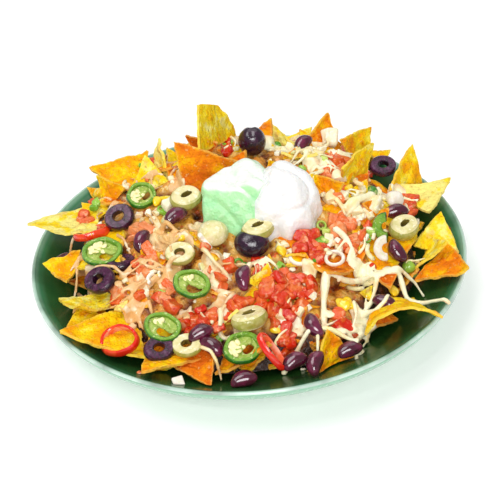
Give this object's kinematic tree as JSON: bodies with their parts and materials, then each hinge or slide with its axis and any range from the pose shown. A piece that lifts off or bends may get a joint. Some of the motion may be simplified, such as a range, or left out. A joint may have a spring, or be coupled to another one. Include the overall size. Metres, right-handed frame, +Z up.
{
  "type": "loaded nachos",
  "caption": "Loaded nachos on a shallow round plate: tortilla chips under melted cheese, diced vegetables, olives, jalapenos, chillies and beans, with two dollops of cream.",
  "frame": {"origin": "on the table under the middle of the plate", "axes": "+Z up out of the plate, +X to the right of the person who eats, -Y towards that person"},
  "size_m": [0.2807, 0.28, 0.1055],
  "materials": {
    "plate_glaze": "dark green gloss glaze, thin and pale at the rim",
    "chips_and_cheese": "golden fried corn with melted cheese and diced tomato",
    "sour_cream": "white cream, soft sheen",
    "avocado_cream": "pale green cream, soft sheen",
    "black_olive": "purple-black, wet",
    "green_olive": "pale green flesh with an olive-green skin, wet",
    "jalapeno": "green skin with a pale green core, wet",
    "red_chilli": "bright red skin, wet",
    "kidney_bean": "maroon skin, wet",
    "onion": "white, a little translucent"
  },
  "bodies": {
    "root": {"plate": "plate_glaze", "nacho_heap": "chips_and_cheese", "sour_cream": "sour_cream", "avocado_cream": "avocado_cream", "black_olive_whole": "black_olive", "black_olive_ring_1": "black_olive", "black_olive_ring_2": "black_olive", "black_olive_ring_3": "black_olive", "black_olive_ring_4": "black_olive", "black_olive_ring_5": "black_olive", "black_olive_half": "black_olive", "green_olive_cut_1": "green_olive", "green_olive_cut_2": "green_olive", "green_olive_cut_3": "green_olive", "green_olive_cut_4": "green_olive", "green_olive_ring_1": "green_olive", "green_olive_ring_2": "green_olive", "green_olive_half": "green_olive", "jalapeno_ring_1": "jalapeno", "jalapeno_ring_2": "jalapeno", "jalapeno_ring_3": "jalapeno", "jalapeno_ring_4": "jalapeno", "jalapeno_ring_5": "jalapeno", "jalapeno_wedge": "jalapeno", "red_chilli_ring_1": "red_chilli", "red_chilli_ring_2": "red_chilli", "red_chilli_ring_3": "red_chilli", "kidney_bean_1": "kidney_bean", "kidney_bean_2": "kidney_bean", "kidney_bean_3": "kidney_bean", "kidney_bean_4": "kidney_bean", "kidney_bean_5": "kidney_bean", "kidney_bean_6": "kidney_bean", "kidney_bean_7": "kidney_bean", "kidney_bean_8": "kidney_bean", "kidney_bean_9": "kidney_bean", "kidney_bean_10": "kidney_bean", "kidney_bean_11": "kidney_bean", "kidney_bean_12": "kidney_bean", "kidney_bean_13": "kidney_bean", "kidney_bean_14": "kidney_bean", "kidney_bean_15": "kidney_bean", "onion_wedge": "onion", "onion_ball": "onion", "onion_cube": "onion", "onion_ring": "onion"}
  },
  "joints": []
}
